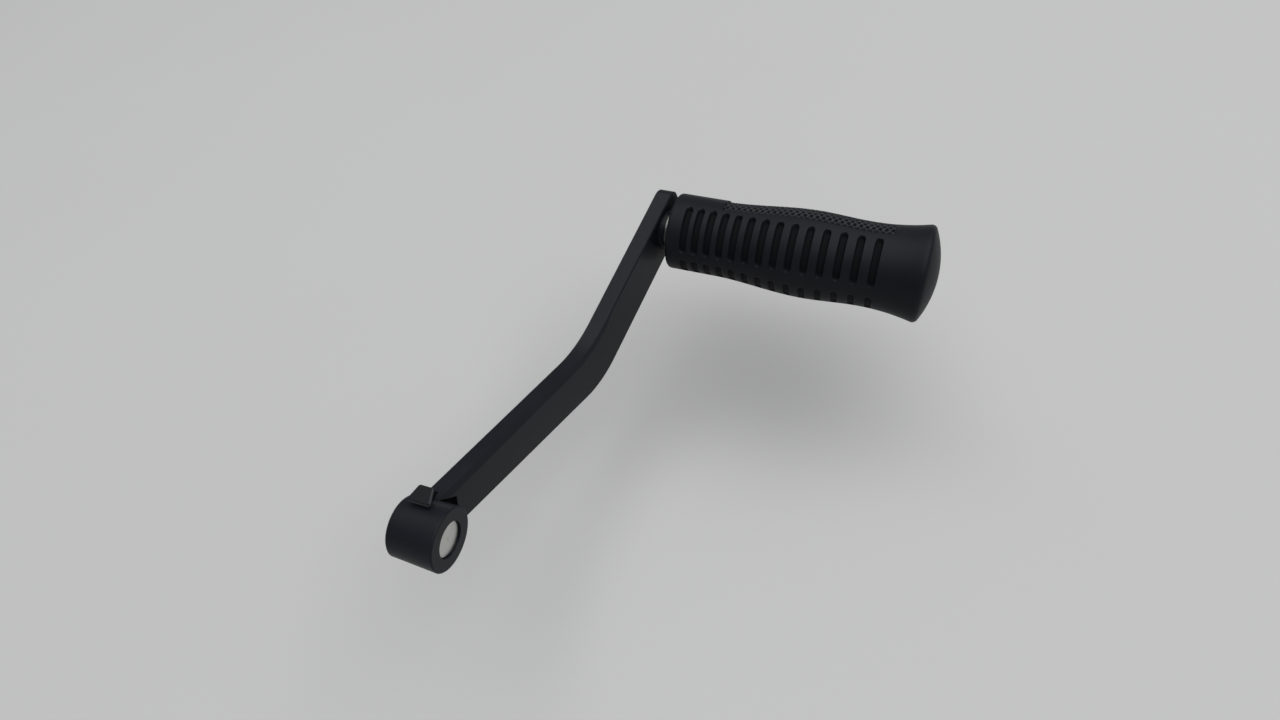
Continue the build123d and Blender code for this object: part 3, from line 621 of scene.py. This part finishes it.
# %% Mark floors and ribs, and dress the sleeve
mark = np.where(inside > 0.5, inside * (2 * pit - 1), slot_sink / UPPER_PANEL["depth"])
mark = np.where(skin, np.clip(mark, -1, 1), 0).astype(np.float32)
marks = sleeve.data.attributes.new("sunk", "FLOAT", "POINT")
marks.data.foreach_set("value", mark)
bpy.ops.object.shade_smooth_by_angle(angle=math.radians(50))
sleeve.data.materials.append(rubber.material)
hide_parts("grip_sleeve")
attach(sleeve, "grip")
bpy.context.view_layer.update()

# %% [markdown]
# ## The bench
#
# A plain pale surface lies a little way under the crank and reaches past what the camera sees. It is one
# flat level sheet. The gap under the crank keeps its shadow wide and soft, and a level sheet never hides
# the crank from another side.

# %% Bench
BENCH_GAP = 45 * MM
BENCH_SIZE = 8.0
middle = Vector((0.08, 0.09, 0.0))
bench_top = model_box[0][2] - BENCH_GAP
floor = Finish("pale_bench", {"Roughness": 0.9, "Specular IOR Level": 0.2})
floor_cloud = floor.grain(0.35)
floor.vary("Base Color", floor.blend(floor_cloud, (0.470, 0.470, 0.465, 1), (0.490, 0.490, 0.490, 1)))
bpy.ops.object.select_all(action="DESELECT")
bpy.ops.mesh.primitive_plane_add(size=BENCH_SIZE, location=(middle.x, middle.y, bench_top))
bench = bpy.context.object
bench.name = "bench"
bench.data.materials.append(floor.material)
print("bench top at z", round(bench_top, 4))

# %% [markdown]
# ## Light
#
# Black shapes are drawn by what they reflect, so one very large soft panel hangs over the crank.
# It brightens the faces that look up, and the sides fall away into dark, which gives the barrel and
# the grip a dark band along their lower half. A dim even sky fills the rest. The panel hangs far
# off, because then the bench under it is lit evenly.

# %% Soft light
PANEL_DISTANCE = 3.4
PANEL_SIZE = 5.1
PANEL_POWER = 189.0
SKY_STRENGTH = 0.22


def soft_panel(name, place, target, size, power):
    """A square lamp at a place, turned to look at a target."""
    lamp = bpy.data.lights.new(name, "AREA")
    lamp.shape = "SQUARE"
    lamp.size = size
    lamp.energy = power
    panel = bpy.data.objects.new(name, lamp)
    scene.collection.objects.link(panel)
    panel.location = place
    panel.rotation_euler = (Vector(target) - Vector(place)).to_track_quat("-Z", "Y").to_euler()
    return panel


overhead = middle + PANEL_DISTANCE * Vector((0.15, 0.06, 0.985)).normalized()
soft_panel("overhead_panel", overhead, middle, PANEL_SIZE, PANEL_POWER)
sky = bpy.data.worlds.new("dim_sky")
scene.world = sky
sky.use_nodes = True
sky.node_tree.nodes["Background"].inputs["Color"].default_value = (0.95, 0.97, 1.0, 1)
sky.node_tree.nodes["Background"].inputs["Strength"].default_value = SKY_STRENGTH

# %% [markdown]
# ## Camera
#
# The camera stands above the hub's side and looks down along the arm, close by with a wide lens,
# so the grip's flared end looms and the arm runs away to the hub. Its three directions are written
# out, which also gives the slight roll.

# %% Camera
lens = bpy.data.cameras.new("wide_lens")
lens.lens = 23.906
lens.sensor_width = 36.0
lens.clip_start = 10 * MM
camera = bpy.data.objects.new("camera", lens)
scene.collection.objects.link(camera)
right = Vector((0.9345, 0.3475, -0.0770)).normalized()
back = right.cross(Vector((-0.2107, 0.7145, 0.6672))).normalized()
up = back.cross(right).normalized()
turn = Matrix((right, up, back)).transposed().to_4x4()
camera.matrix_world = Matrix.Translation((0.15319, -0.11254, 0.25717)) @ turn
scene.camera = camera
print("camera at", [round(place, 3) for place in camera.location])

# %% Print the model's box
print("model box:", model_box)
